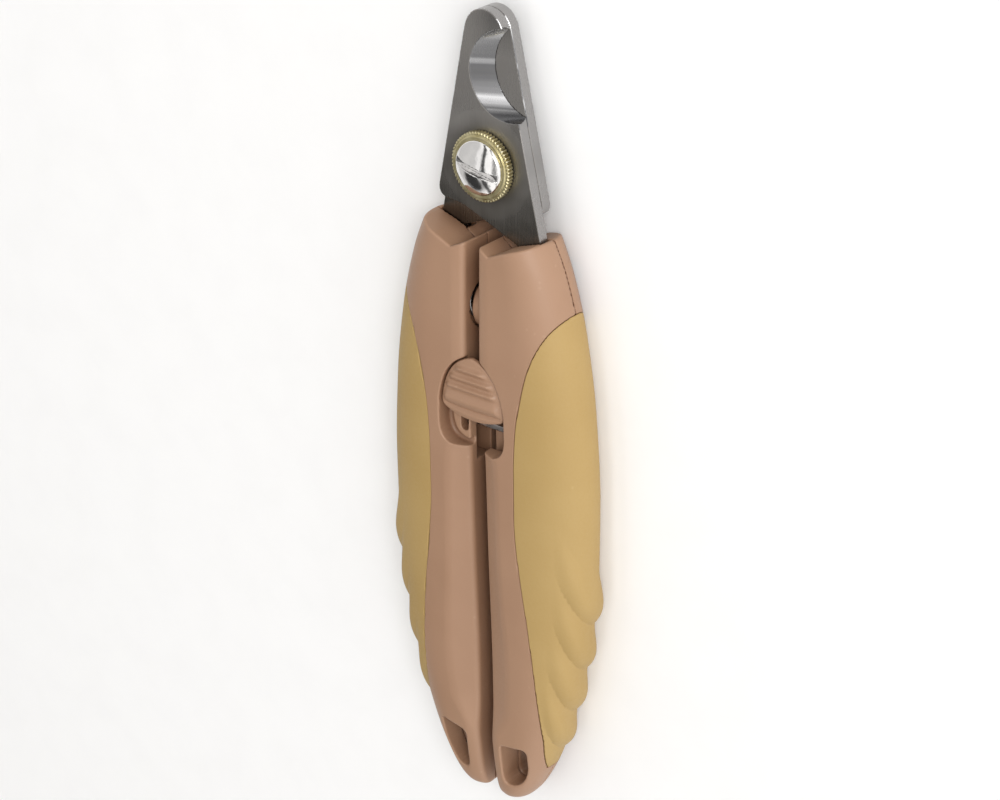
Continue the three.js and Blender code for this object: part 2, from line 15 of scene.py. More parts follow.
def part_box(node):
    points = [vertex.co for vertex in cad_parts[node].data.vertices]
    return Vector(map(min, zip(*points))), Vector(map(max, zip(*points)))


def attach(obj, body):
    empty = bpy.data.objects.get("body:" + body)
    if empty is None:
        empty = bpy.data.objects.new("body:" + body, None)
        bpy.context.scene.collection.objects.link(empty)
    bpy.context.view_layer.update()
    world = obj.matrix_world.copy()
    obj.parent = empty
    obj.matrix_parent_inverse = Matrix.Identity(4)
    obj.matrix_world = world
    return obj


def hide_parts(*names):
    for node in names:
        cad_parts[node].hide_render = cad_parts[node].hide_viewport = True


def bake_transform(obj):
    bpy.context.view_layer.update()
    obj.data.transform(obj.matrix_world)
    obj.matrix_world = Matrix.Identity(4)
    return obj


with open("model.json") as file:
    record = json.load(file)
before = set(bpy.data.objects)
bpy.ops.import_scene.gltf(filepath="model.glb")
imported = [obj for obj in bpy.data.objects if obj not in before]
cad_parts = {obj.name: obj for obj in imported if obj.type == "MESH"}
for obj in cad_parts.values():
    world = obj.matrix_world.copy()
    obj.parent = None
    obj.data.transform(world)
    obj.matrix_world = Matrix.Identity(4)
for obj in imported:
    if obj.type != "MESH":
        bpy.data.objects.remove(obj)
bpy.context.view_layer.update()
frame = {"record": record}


# ---------- places taken from the frame ----------
METRES = 0.001
bolt_low, bolt_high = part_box("pivot_bolt")
BLADE_GAP = 0.1  # from the sliding plane to each blade's box
PIVOT = Vector((
    (bolt_low[0] + bolt_high[0]) / 2,
    (bolt_low[1] + bolt_high[1]) / 2,
    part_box("front_blade")[0][2] - BLADE_GAP * METRES,
))


def local_box(node):
    """A node's lowest and highest corner in millimetres in the working frame."""
    low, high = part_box(node)
    return (np.array(low) - np.array(PIVOT)) / METRES, (np.array(high) - np.array(PIVOT)) / METRES


# ---------- distance fields ----------
def round_max(a, b, radius):
    """The common part of two solids, with the edge between them rounded."""
    outside = np.hypot(np.maximum(a + radius, 0), np.maximum(b + radius, 0))
    return outside + np.minimum(np.maximum(a, b) + radius, 0) - radius


def round_min(a, b, radius):
    """Two solids joined, with a fillet where they meet."""
    return -round_max(-a, -b, radius)


def carve(solid, tool, radius):
    """A solid with a tool's shape cut out of it, and the rim rounded."""
    return round_max(solid, -tool, radius)


def smooth_step(low, high, value):
    """0 below low, 1 above high, and a smooth rise between them."""
    t = np.clip((value - low) / (high - low), 0, 1)
    return t * t * (3 - 2 * t)


def along(pairs):
    """A smooth curve through [y, value] pairs in falling y, which never overshoots them."""
    ys = np.array([pair[0] for pair in pairs], float)[::-1]
    vs = np.array([pair[1] for pair in pairs], float)[::-1]
    slope = np.diff(vs) / np.diff(ys)
    tangent = np.zeros(len(ys))
    same = slope[:-1] * slope[1:] > 0
    both = np.where(same, slope[:-1] + slope[1:], 1)
    tangent[1:-1] = np.where(same, 2 * slope[:-1] * slope[1:] / both, 0)
    tangent[0] = slope[0]
    tangent[-1] = slope[-1]

    def curve(y):
        i = np.clip(np.searchsorted(ys, y) - 1, 0, len(ys) - 2)
        width = ys[i + 1] - ys[i]
        t = np.clip((y - ys[i]) / width, 0, 1)
        rise = t * t * (3 - 2 * t)
        bend = (1 - t) * (1 - t) * t * tangent[i] - t * t * (1 - t) * tangent[i + 1]
        return vs[i] * (1 - rise) + vs[i + 1] * rise + bend * width

    return curve


def polygon(points):
    """The signed distance to a closed outline in the x, y plane."""
    points = np.array(points, float)
    ends = np.roll(points, -1, axis=0)

    def field(x, y):
        x, y = np.broadcast_arrays(x, y)
        nearest = np.full(x.shape, np.inf)
        inside = np.zeros(x.shape, bool)
        for (ax, ay), (bx, by) in zip(points, ends):
            ex, ey = bx - ax, by - ay
            wx, wy = x - ax, y - ay
            t = np.clip((wx * ex + wy * ey) / (ex * ex + ey * ey), 0, 1)
            nearest = np.minimum(nearest, (wx - t * ex) ** 2 + (wy - t * ey) ** 2)
            crosses = (ay > y) != (by > y)
            if ay != by:
                inside ^= crosses & (wx < ex * wy / ey)
        return np.where(inside, -1, 1) * np.sqrt(nearest)

    return field


def quadratic(start, control, end, steps=10):
    """Points along a quadratic curve, without its first one."""
    a, b, c = (np.array(p, float) for p in (start, control, end))
    ts = np.linspace(0, 1, steps + 1)[1:, None]
    return list((1 - ts) ** 2 * a + 2 * ts * (1 - ts) * b + ts ** 2 * c)


def rod_field(u, v, w, radius, low, high, edge=0.1):
    """A round rod along w, with u and v measured from its axis."""
    return round_max(np.hypot(u, v) - radius, np.maximum(low - w, w - high), edge)


# ---------- meshes from fields ----------
PROJECTIONS = 3
PROBE = 0.01  # mm, for measuring a field's slope
LEAST_SLOPE = 0.05  # squared, so that a flat stretch doesn't throw a point far off
TINY = 1e-9  # keeps a division from failing


def gradient(field, points):
    """A field's values at some points, and its slopes along x, y and z there."""
    x, y, z = points.T
    here = field(x, y, z)
    slope = np.stack([
        field(x + PROBE, y, z) - here, field(x, y + PROBE, z) - here, field(x, y, z + PROBE) - here,
    ], axis=1) / PROBE
    return here, slope


def neighbour(axis, i, j, k, du, dv):
    """The cells beside grid edges that run along an axis, du and dv away in the other two."""
    cell = [i, j, k]
    u, v = (axis + 1) % 3, (axis + 2) % 3
    cell[u] = cell[u] + du
    cell[v] = cell[v] + dv
    return tuple(cell)


def cell_net(values, low, step):
    """A net round the samples that are negative: a point in each crossed cell, and quads."""
    inside = values < 0
    cells = tuple(count - 1 for count in values.shape)
    total = np.zeros(cells + (3,), np.float32)
    hits = np.zeros(cells, np.float32)
    crossings = []
    for axis in range(3):
        first = [slice(None)] * 3
        second = [slice(None)] * 3
        first[axis] = slice(0, -1)
        second[axis] = slice(1, None)
        a, b = values[tuple(first)], values[tuple(second)]
        i, j, k = np.nonzero(inside[tuple(first)] != inside[tuple(second)])
        share = a[i, j, k] / (a[i, j, k] - b[i, j, k])
        spot = np.stack([i, j, k], axis=1).astype(np.float32)
        spot[:, axis] += share
        crossings.append((axis, i, j, k, inside[tuple(first)][i, j, k]))
        for du in (0, -1):
            for dv in (0, -1):
                cell = neighbour(axis, i, j, k, du, dv)
                np.add.at(total, cell, spot)
                np.add.at(hits, cell, 1)
    used = hits > 0
    number = np.full(cells, -1)
    number[used] = np.arange(used.sum())
    around = ((-1, -1), (0, -1), (0, 0), (-1, 0))
    quads = []
    for axis, i, j, k, first_inside in crossings:
        quad = np.stack([number[neighbour(axis, i, j, k, du, dv)] for du, dv in around], axis=1)
        quads.append(np.where(first_inside[:, None], quad, quad[:, ::-1]))
    return low + step * total[used] / hits[used][:, None], np.concatenate(quads)


def settle(field, points, longest):
    """Points moved onto the surface where a field is 0, and the outward normals there."""
    for _ in range(PROJECTIONS):
        here, slope = gradient(field, points)
        size = np.maximum((slope ** 2).sum(axis=1), LEAST_SLOPE)
        move = -here[:, None] * slope / size[:, None]
        reach = np.linalg.norm(move, axis=1, keepdims=True)
        points = points + move * np.minimum(1, longest / np.maximum(reach, TINY))
    slope = gradient(field, points)[1]
    return points, slope / np.maximum(np.linalg.norm(slope, axis=1, keepdims=True), TINY)


def surface(field, low, high, step, lean=None):
    """The surface where a field is 0, as vertices, outward normals and quads.

    LEAN gives how far the sampling grid is shifted along x at each y, so that its columns can follow
    an edge of the form.
    """
    low = np.array(low, float) - 2 * step
    counts = np.ceil((np.array(high, float) + 2 * step - low) / step).astype(int) + 1
    x, y, z = (low[i] + step * np.arange(counts[i]) for i in range(3))
    shift = lean(y) if lean else np.zeros_like(y)
    values = field(x[:, None, None] + shift[None, :, None], y[None, :, None], z[None, None, :])
    values = np.broadcast_to(values, counts).astype(np.float32)
    points, quads = cell_net(values, low, step)
    points[:, 0] += np.interp(points[:, 1], y, shift)
    points, normals = settle(field, points, 0.5 * step)
    return points, normals, quads


def mesh_object(name, points, faces, normals=None):
    """A smooth-shaded object from points in millimetres in the working frame."""
    mesh = bpy.data.meshes.new(name)
    places = np.asarray(points) * METRES + np.array(PIVOT)
    mesh.from_pydata(places.tolist(), [], [tuple(face) for face in faces])
    mesh.polygons.foreach_set("use_smooth", [True] * len(mesh.polygons))
    if normals is not None:
        mesh.normals_split_custom_set_from_vertices(normals.tolist())
    piece = bpy.data.objects.new(name, mesh)
    bpy.context.collection.objects.link(piece)
    return piece


def carved_piece(name, field, node, step, margin=0.6, lean=None):
    """A piece from a field, sampled over a node's box."""
    low, high = local_box(node)
    if lean:
        ys = np.linspace(low[1] - margin, high[1] + margin, 200)
        low[0] -= lean(ys).max()
        high[0] -= lean(ys).min()
    points, normals, quads = surface(field, low - margin, high + margin, step, lean)
    return mesh_object(name, points, quads, normals)


# ---------- the handle's form ----------
HALF_GAP = local_box("right_front_shell")[0][0]
HANDLE_END = local_box("right_front_shell")[0][1]
BACK = -local_box("right_rear_shell")[0][2]
SEAM = 0.06  # half of the visible parting gap between the two shells
GRIP_THICK = 1.8
GRIP_SHIFT = 0.3  # share of that thickness by which the form under the grip is moved inboard
GRIP_SEAM = 0.03  # how far a shell and its grip each stand back from the line between them
GRIP_TOP = -20.5
GRIP_END = -121.6
FORM_END = HANDLE_END - 0.1  # the levers' lowest y, a little past the CAD's

outer_edge = along([
    [-9, 12.3], [-18, 16.3], [-30, 19.5], [-45, 21.8], [-62, 22.8], [-78, 22.6], [-95, 20.5],
    [-108, 17.6], [-119, 14.2], [-126.5, 10.7], [-129.6, 8.6], [-131.3, 6.6], [FORM_END, 4.2],
])
front_height = along([
    [-9, 7.3], [-38, 7.9], [-70, 7.9], [-95, 7.4], [-112, 6.6], [-124, 5.4], [-129, 4.4], [-131.2, 3.3],
    [FORM_END, 1.8],
])
back_height = along([
    [-9, 5.2], [-30, BACK], [-82, BACK], [-112, 5.6], [-124, 5.2], [-129, 4.3], [-131.2, 3.3],
    [FORM_END, 1.8],
])
inner_bevel_width = along([
    [-9, 1.6], [-50, 1.6], [-56, 3.9], [-80, 4.6], [-100, 5.6], [-109, 5.0], [-116, 1.8],
])
inner_bevel_drop = along([[-9, 0.6], [-50, 0.6], [-56, 1.9], [-95, 2.4], [-108, 2.0], [-118, 0.8]])
grip_line = along([
    [GRIP_TOP, 21.6], [-24, 18.6], [-27.8, 15.9], [-33.6, 13.3], [-40, 11.6], [-48, 10.3], [-56, 9.9],
    [-65, 9.9], [-76, 10.8], [-87, 12.3], [-101, 13.6], [-113, 14.0], [-118, 13.5], [-123.5, 12.6],
])

SCALE_VALLEYS = np.array([-75, -86.8, -97.2, -107.4, -116.9])  # where they cross the outer edge
SCALE_HEIGHT = 1.1
SCALE_CREST = 0.66  # of the way from one valley to the next
SCALE_DROP = (2.2, 0.9)  # powers that round the way down into the next valley
SCALE_SLANT = 0.35  # mm that a valley climbs for each mm towards the front
SCALE_BEND = 0.15  # and how fast it gets steeper there
SCALE_FADE = (2.8, 8.2)  # from the outer edge: where the scales start and end fading out
SEAM_FADE = (-0.3, 2.4)  # from the grip's wall: where the scales start and reach their full height
POWER = 2.27  # of the super-ellipse on the handle's outer side
CREST_SHARE = 0.42  # of the way to the outer edge, where the flat crest of a cross-section ends
CREST_LIMIT = 7.5  # and its greatest width
LEAST_FORM_SLOPE = 0.04  # keeps the form's distance finite on its axis
BEVEL_ROUND = 0.45
INNER_ROUND = 0.8
END_ROUND = 1.2


def scale_swell(x, y, z):
    """How far the grip's overlapping scales stand out of the handle's form."""
    arc = np.hypot(np.maximum(outer_edge(y) - x, 0), z)
    front = np.where(z > 0, arc, 0)
    place = y - np.where(z > 0, SCALE_SLANT, -SCALE_SLANT) * arc - SCALE_BEND * front * front
    i = np.clip(np.searchsorted(-SCALE_VALLEYS, -place) - 1, 0, len(SCALE_VALLEYS) - 2)
    start, end = SCALE_VALLEYS[i], SCALE_VALLEYS[i + 1]
    t = np.clip((place - start) / (end - start), 0, 1)
    rise = smooth_step(0, 1, t / SCALE_CREST)
    down = np.clip((t - SCALE_CREST) / (1 - SCALE_CREST), 0, 1)
    drop = np.maximum(0, 1 - down ** SCALE_DROP[0]) ** SCALE_DROP[1]
    bump = np.where(t < SCALE_CREST, rise, drop)
    bump = np.where((place > SCALE_VALLEYS[0]) | (place < SCALE_VALLEYS[-1]), 0, bump)
    fade = (1 - smooth_step(*SCALE_FADE, arc)) * smooth_step(*SEAM_FADE, -grip_side(x, y, z))
    return SCALE_HEIGHT * bump * fade


def section(y, z):
    """Where the flat crest of a cross-section ends, the outer edge, and the crest's height."""
    outer = outer_edge(y)
    crest = np.where(z > 0, front_height(y), back_height(y))
    return HALF_GAP + np.minimum(CREST_LIMIT, CREST_SHARE * (outer - HALF_GAP)), outer, crest


def handle_field(x, y, z, swelling=False):
    """The right handle's whole form, without its cuts."""
    flat_end, outer, crest = section(y, z)
    u = np.maximum(x - flat_end, 0) / (outer - flat_end)
    v = np.abs(z) / crest
    g = np.maximum((u ** POWER + v ** POWER) ** (1 / POWER), 1e-6)
    du = (u / g) ** (POWER - 1) / (outer - flat_end)
    dv = (v / g) ** (POWER - 1) / crest
    form = (g - 1) / np.maximum(np.hypot(du, dv), LEAST_FORM_SLOPE)
    if swelling:
        form = form - scale_swell(x, y, z)
    width, drop = inner_bevel_width(y), inner_bevel_drop(y)
    slope = np.hypot(width, drop)
    bevel = ((np.abs(z) - (crest - drop)) * width - (x - HALF_GAP) * drop) / slope
    form = round_max(form, bevel, BEVEL_ROUND)
    form = round_max(form, HALF_GAP - x, INNER_ROUND)
    return round_max(form, FORM_END - y, END_ROUND)


# ---------- cuts in the handles ----------
V_PLACE = 4.25  # x of the V in the handle's upper end
V_WIDTH = 2.6
V_LEAN = 0.12  # how much deeper the V is for each mm below the front's crest
TOP_CUT = [[-1, -12.6], [1.6, -13.6], [V_PLACE, -14.8], [8.3, -13.1], [12.3, -11.8], [40, -8]]
FRONT_CREST = 7.3
MOST_LEAN = 1.2  # of the grip's wall from upright


def under_grip(x, y, z):
    """The handle's form under the soft grip."""
    return handle_field(x + GRIP_THICK * GRIP_SHIFT, y, z) + GRIP_THICK


def top_field(x, y, z):
    """What is cut away above the handle's end: negative above the line."""
    points = np.array(TOP_CUT)
    edge = np.interp(x, points[:, 0], points[:, 1])
    v_share = np.maximum(0, 1 - np.abs(x - V_PLACE) / V_WIDTH)
    edge = edge - V_LEAN * (FRONT_CREST - np.abs(z)) * v_share
    return (edge - y) * 0.9


def grip_side(x, y, z):
    """Negative outboard of the wall where the grip begins. The wall stands square on the surface."""
    step = 0.5
    slope = (grip_line(y + step) - grip_line(y - step)) / (2 * step)
    line = grip_line(y) + np.maximum(y - GRIP_TOP, 0) * 0.9
    flat_end, outer, crest = section(y, z)
    u = np.clip((line - flat_end) / (outer - flat_end), 0, 0.95)
    v = (1 - u ** POWER) ** (1 / POWER)
    lean = np.minimum((u / v) ** (POWER - 1) * crest / (outer - flat_end), MOST_LEAN)
    lean = lean * smooth_step(30, 40, -y)
    wall = (line - lean * (crest * v - np.abs(z)) - x) / np.sqrt(1 + slope ** 2 + lean ** 2)
    return np.maximum(wall, GRIP_END - y)


hang_hole = polygon(
    [[4.3, -119]] + quadratic([4.3, -119], [4.3, -117.9], [5.4, -117.7], 4)
    + [[9.2, -117]] + quadratic([9.2, -117], [10.4, -116.9], [10.4, -118.2], 4)
    + [[10.2, -121.5]] + quadratic([10.2, -121.5], [9, -127.2], [5.6, -127.2], 7)
    + quadratic([5.6, -127.2], [4.3, -127.2], [4.3, -125], 4)
)
pocket_outline = polygon(
    [[-3, -35.45], [0, -35.45]] + quadratic([0, -35.45], [6.15, -36.5], [7.45, -45.2], 10)
    + [[7.55, -50]] + quadratic([7.55, -50], [7.4, -54.3], [3.4, -54.3], 8) + [[-3, -54.3]]
)
boss_outline = polygon(
    [[-3, -33], [5.7, -33], [5.7, -48.5]] + quadratic([5.7, -48.5], [5.4, -52.6], [2.2, -52.9], 8)
    + [[-3, -52.9]]
)
lock_cavity = polygon([[-3, -39.4], [9.4, -39.4], [9.4, -57.8], [-3, -57.8]])
tang_slot = polygon([
    [12.5, -8], [12.5, -12.2], [14.6, -18], [14.8, -33], [11.4, -42], [11.3, -63], [10, -65.7],
    [6.3, -65.7], [4.9, -63], [8.9, -34.6], [8.9, -20.6], [6.5, -15.4], [6.5, -8],
])
BLADE_FACE = 2.3
BLADE_CLEARANCE = 0.03  # from the sliding plane to each ground face
POCKET_FLOOR = 4.4
CAVITY_TOP = 3.9  # of the hollow for the hook under the pocket's floor
BOSS_TOP = 6.0
SLOT = (-50.6, -41, 0.85)  # its ends and half its width
SLOT_FLOOR = 3.5
RIGHT_POCKET_PLAY = 0.15  # by which the right handle's pocket is wider than the left one's
STEM = (-2.9, -43)  # the lock button's stem, which runs in the slot
SPRING_AXIS = (-26.9, 0.3)
CUP_RADIUS = 4.9
CUP_BASE = 8.6  # how far from the middle a cup ends
CUP_FLOOR = 1
CUP_WALL = 0.8
CUP_STUB = (2.2, 4.6, 8.1)  # radius, and how far from the middle it starts and ends
BORE_END = 8.9  # and the bore that takes it
BORE_PLAY = 0.12
UPPER_SCREW = (12, -20)
LOWER_SCREW = (8.6, -104)
SCREW_SEAT = 3.4  # how far behind the sliding plane the heads bear
SCREW_WELL = 2.45


def lock_pocket(x, y, z, right):
    """The pocket that the lock button slides in."""
    walls = pocket_outline(x, y)
    under = np.maximum(lock_cavity(x, y), z - CAVITY_TOP)
    if right:
        return np.maximum(np.minimum(walls - RIGHT_POCKET_PLAY, under), BLADE_FACE + 0.3 - z)
    pocket = round_max(walls, POCKET_FLOOR - z, 0.6)
    boss = round_max(boss_outline(x, y), z - BOSS_TOP, 0.35)
    pocket = carve(pocket, boss, 0.3)
    low, high, half_width = SLOT
    slot = np.hypot(x + STEM[0], y - np.clip(y, low, high)) - half_width
    slot = np.maximum(slot, SLOT_FLOOR - z)
    return round_min(np.minimum(pocket, under), slot, 0.2)


def shell_field(right, front):
    """One shell, drawn for x > 0. A rear shell is drawn behind the sliding plane."""
    side = 1 if front else -1

    def field(x, y, z):
        form = handle_field(x, y, z)
        inner = under_grip(x, y, z) + GRIP_SEAM
        grip = np.maximum(grip_side(x + GRIP_SEAM, y, z), -inner)
        form = carve(form, grip, 0.11)
        form = carve(form, top_field(x, y, z), 0.45)
        form = round_max(form, SEAM - side * z, 0.1)
        form = carve(form, hang_hole(x, y), 0.5)
        bore = np.hypot(y - SPRING_AXIS[0], z - SPRING_AXIS[1]) - CUP_RADIUS - BORE_PLAY
        form = carve(form, np.maximum(bore, x - BORE_END), 0.08)
        if right == front:
            form = carve(form, np.maximum(tang_slot(x, y), side * z - BLADE_FACE - 0.25), 0.2)
        if front:
            form = carve(form, lock_pocket(x, y, z, right), 0.3)
        else:
            for cx, cy in (UPPER_SCREW, LOWER_SCREW):
                hole = np.maximum(np.hypot(x - cx, y - cy) - SCREW_WELL, z + SCREW_SEAT - 0.3)
                form = carve(form, hole, 0.25)
        return form

    return field


def grip_field(x, y, z):
    """The right soft grip, a layer round the outer side of the handle."""
    form = handle_field(x, y, z, swelling=True)
    form = round_max(form, grip_side(x - GRIP_SEAM, y, z), 0.12)
    return round_max(form, -under_grip(x, y, z), 0.1)


def on_side(field, right):
    """The same field for the left handle, mirrored."""
    if right:
        return field
    return lambda x, y, z: field(-x, y, z)


LEAN_TOP = -21  # the grid stops leaning above here
LEAN_MIDDLE = 12  # and isn't shifted where the grip begins at this x


def grip_lean(side):
    """The sampling grid's shift along x, which follows the line where the grip begins."""
    return lambda y: side * (grip_line(np.minimum(y, LEAN_TOP)) - LEAN_MIDDLE)


pieces = {}
SHELL_STEP = 0.32
for right in (True, False):
    hand = "right" if right else "left"
    lean = grip_lean(1 if right else -1)
    for front in (True, False):
        node = f"{hand}_{'front' if front else 'rear'}_shell"
        shell = on_side(shell_field(right, front), right)
        pieces[node] = carved_piece(node + "_moulding", shell, node, SHELL_STEP, lean=lean)
    node = f"{hand}_grip"
    pieces[node] = carved_piece(node + "_pad", on_side(grip_field, right), node, SHELL_STEP, lean=lean)


# ---------- blades ----------
HEAD_HALF_WIDTH = 9.5
HEAD_TAPER = 0.213
TIP_RADIUS = 4.3
TIP_CENTRE_Y = (HEAD_HALF_WIDTH - TIP_RADIUS * math.hypot(1, HEAD_TAPER)) / HEAD_TAPER
NOTCH_EDGE = (9.6, 18.2, 8.7)  # centre and radius of the notch at the sliding plane
NOTCH_FACE = (4.9, 17.1, 8.2)  # and at the blade's outer face
NOTCH_SLOPE = 0.45  # makes the slanted wall's field about as steep as a distance
HEAD_CORNER = -5.5  # y where the head's sides end
BOLT_HOLE = 2.8


def head_edge(y):
    """Half the width of a blade's head."""
    return HEAD_HALF_WIDTH - HEAD_TAPER * y


def blade_outline(with_catch):
    """The front blade's head and tang, with or without the ear that carries the catch pin."""
    tangent = math.atan(HEAD_TAPER)
    angles = np.linspace(tangent, math.pi - tangent, 17)
    tip = [[TIP_RADIUS * math.cos(a), TIP_CENTRE_Y + TIP_RADIUS * math.sin(a)] for a in angles]
    corner = head_edge(HEAD_CORNER)
    points = [[corner, HEAD_CORNER]] + tip + [[-corner, HEAD_CORNER]]
    points += quadratic([-corner, HEAD_CORNER], [-head_edge(-8.2), -8.2], [-8.6, -8.3], 6)
    points += [[-5, -8.7], [6.9, -13.6], [9.3, -20.6], [9.3, -34.6]]
    if with_catch:
        points += [[5.3, -40.4], [2.1, -42.6], [2.1, -50.2], [5.3, -52]]
    points += [[5.3, -63], [6.6, -65.4], [9.6, -65.4], [10.9, -63], [11, -42], [14.4, -33], [14.2, -18]]
    points += [[12.1, -12.2]]
    return polygon(points)


def blade_field(with_catch):
    """The front blade, with the sliding plane under it."""
    outline = blade_outline(with_catch)

    def field(x, y, z):
        slab = np.maximum(BLADE_CLEARANCE - z, z - BLADE_FACE)
        form = round_max(outline(x, y), slab, 0.14)
        t = z / BLADE_FACE
        cx, cy, radius = (NOTCH_EDGE[i] + t * (NOTCH_FACE[i] - NOTCH_EDGE[i]) for i in range(3))
        notch = (np.hypot(x - cx, y - cy) - radius) * NOTCH_SLOPE
        form = carve(form, notch, 0.05)
        return carve(form, np.hypot(x, y) - BOLT_HOLE, 0.1)

    return field


def turned_over(field):
    """The same field turned half round the long axis, as the rear blade is."""
    return lambda x, y, z: field(-x, y, -z)


BLADE_STEP = 0.2
pieces["front_blade"] = carved_piece("front_blade_ground", blade_field(True), "front_blade", BLADE_STEP)
pieces["rear_blade"] = carved_piece("rear_blade_ground", turned_over(blade_field(False)), "rear_blade",
                                    BLADE_STEP)


# ---------- pivot ----------
NUT_RADIUS = 6.5
NUT_TOP = 3.9
NUT_LIP = 5.75
NUT_BORE = 2.9
KNURLS = 60
KNURL_DEPTH = 0.3
DOME_RADIUS = 5.1
DOME_BASE = 4.1
DOME_RIM = 0.35
DOME_RISE = 1.75
DOME_SLOT = math.radians(-12)
DOME_SLOT_HALF = 0.62
DOME_SLOT_FLOOR = 4.7
BOLT_HEAD = 5.8
BOLT_SHANK = 2.6
BOLT_BACK = -5
BOLT_END = 3.6
HEX_HALF = 1.9
HEX_FLOOR = -3.6


def nut_field(x, y, z):
    """The knurled nut, with a low lip on its face."""
    radius = np.hypot(x, y)
    turn = np.arctan2(y, x)
    knurl = np.abs(np.sin(turn * KNURLS / 2))
    rim = NUT_RADIUS - KNURL_DEPTH + KNURL_DEPTH * knurl
    form = round_max((radius - rim) * 0.9, np.maximum(BLADE_FACE + 0.1 - z, z - NUT_TOP), 0.3)
    lip = round_max(radius - NUT_LIP, z - NUT_TOP - 0.25, 0.15)
    form = round_min(form, np.maximum(lip, 2.9 - z), 0.1)
    return carve(form, radius - NUT_BORE, 0.2)


def dome_field(x, y, z):
    """The domed screw, with a rim, one slot and a shank in the bolt."""
    radius = np.hypot(x, y)
    sphere_radius = (DOME_RADIUS ** 2 + DOME_RISE ** 2) / (2 * DOME_RISE)
    height = z - DOME_BASE - DOME_RIM - DOME_RISE + sphere_radius
    sphere = np.sqrt(radius ** 2 + height ** 2) - sphere_radius
    form = round_max(round_max(sphere, radius - DOME_RADIUS, 0.35), DOME_BASE + 0.06 - z, 0.1)
    across = -x * math.sin(DOME_SLOT) + y * math.cos(DOME_SLOT)
    slot = np.maximum(np.abs(across) - DOME_SLOT_HALF, DOME_SLOT_FLOOR - z)
    form = carve(form, slot, 0.09)
    return np.minimum(form, rod_field(x, y, z, 1.2, 0.3, DOME_BASE + 0.3))


def bolt_field(x, y, z):
    """The pivot bolt, with a hexagonal socket at the back and a bore for the dome screw."""
    radius = np.hypot(x, y)
    head = round_max(radius - BOLT_HEAD, np.maximum(BOLT_BACK - z, z + BLADE_FACE + 0.15), 0.5)
    angles = [math.radians(60 * k) for k in range(3)]
    socket = np.maximum.reduce([np.abs(x * math.cos(a) + y * math.sin(a)) - HEX_HALF for a in angles])
    head = carve(head, np.maximum(socket, z - HEX_FLOOR), 0.12)
    shank = rod_field(x, y, z, BOLT_SHANK, -3, BOLT_END)
    return carve(np.minimum(head, shank), np.maximum(radius - 1.5, -z), 0.1)


PIVOT_STEP = 0.16
pieces["knurled_nut"] = carved_piece("knurled_nut_ring", nut_field, "knurled_nut", PIVOT_STEP, 0.4)
pieces["dome_screw"] = carved_piece("dome_screw_head", dome_field, "dome_screw", PIVOT_STEP, 0.4)
pieces["pivot_bolt"] = carved_piece("pivot_bolt_turned", bolt_field, "pivot_bolt", 0.2, 0.4)


# ---------- lock ----------
BUTTON_UNDERSIDE = 6.3
BUTTON_TOP = 7.4
BUTTON_CROWN = 0.004  # how much lower its top is 1 mm from the middle
button_outline = polygon(
    quadratic([0, -35.7], [6, -36.8], [7.25, -45.3], 12)
    + quadratic([7.25, -45.3], [7.3, -46.8], [6, -47.2], 4)
    + quadratic([6, -47.2], [0, -49.3], [-6, -47.2], 12)
    + quadratic([-6, -47.2], [-7.3, -46.8], [-7.25, -45.3], 4)
    + quadratic([-7.25, -45.3], [-6, -36.8], [0, -35.7], 12)
)
BUTTON_RIBS = [-38.0, -39.9, -41.8]
RIB_HEIGHT = 0.75
RIB_UPPER_WIDTH = 0.4
RIB_LOWER_WIDTH = 0.72
STEM_HALVES = (0.55, 1.5)
STEM_ENDS = (3.9, 6.8)
PEG_RADIUS = 0.8
PEG_HOLE = 1.1  # in the hook and the push nut
HOOK_FACES = (2.7, 3.6)
CATCH_PIN = (3.2, -46.2)


def swell(y, centre, height, width):
    """A rounded ridge across the button."""
    return height * np.exp(-((y - centre) / width) ** 2)


def button_field(x, y, z):
    """The lock button, with its stem and the peg that holds the hook."""
    ribs = sum(
        swell(y, rib, RIB_HEIGHT, np.where(y > rib, RIB_UPPER_WIDTH, RIB_LOWER_WIDTH))
        for rib in BUTTON_RIBS
    )
    hump = swell(y, -44.5, 0.6, 1.0) + swell(y, -47.4, 0.35, 0.5)
    dip = swell(y, -46.2, -0.4, 0.45)
    edge = button_outline(x, y)
    inside = smooth_step(0.3, 1.5, -edge)
    crown = -BUTTON_CROWN * x * x
    top = BUTTON_TOP + crown + (ribs + hump + dip) * inside + 0.15 * smooth_step(0, 2, -edge)
    cap = round_max(edge, np.maximum((z - top) * 0.85, BUTTON_UNDERSIDE - z), 0.35)
    u, v = x - STEM[0], y - STEM[1]
    stem = np.maximum(np.maximum(np.abs(u) - STEM_HALVES[0], np.abs(v) - STEM_HALVES[1]),
                      np.maximum(STEM_ENDS[0] - z, z - STEM_ENDS[1]))
    peg = rod_field(u, v, z, PEG_RADIUS, 1.5, 4.5)
    return np.minimum(round_min(cap, stem, 0.3), peg)


hook_outline = polygon([
    [-5.5, -40.5], [-5.5, -50.8], [6.3, -50.8], [6.3, -47.9], [4.8, -47.9], [4.8, -49.6], [-1, -49.6],
    [-1, -40.5],
])


def hook_field(x, y, z):
    """The flat hook under the button."""
    low, high = HOOK_FACES
    form = round_max(hook_outline(x, y), np.maximum(low - z, z - high), 0.15)
    return carve(form, np.hypot(x - STEM[0], y - STEM[1]) - PEG_HOLE, 0.1)


def push_nut_field(x, y, z):
    """The push nut on the button's peg, with two crossed slots in its bore."""
    u, v = x - STEM[0], y - STEM[1]
    form = rod_field(u, v, z, 2.2, 1.9, 2.4, 0.12)
    slots = np.minimum(np.abs(u), np.abs(v)) - 0.2
    hole = np.minimum(np.hypot(u, v) - PEG_HOLE, np.maximum(slots, np.hypot(u, v) - 1.6))
    return carve(form, hole, 0.05)


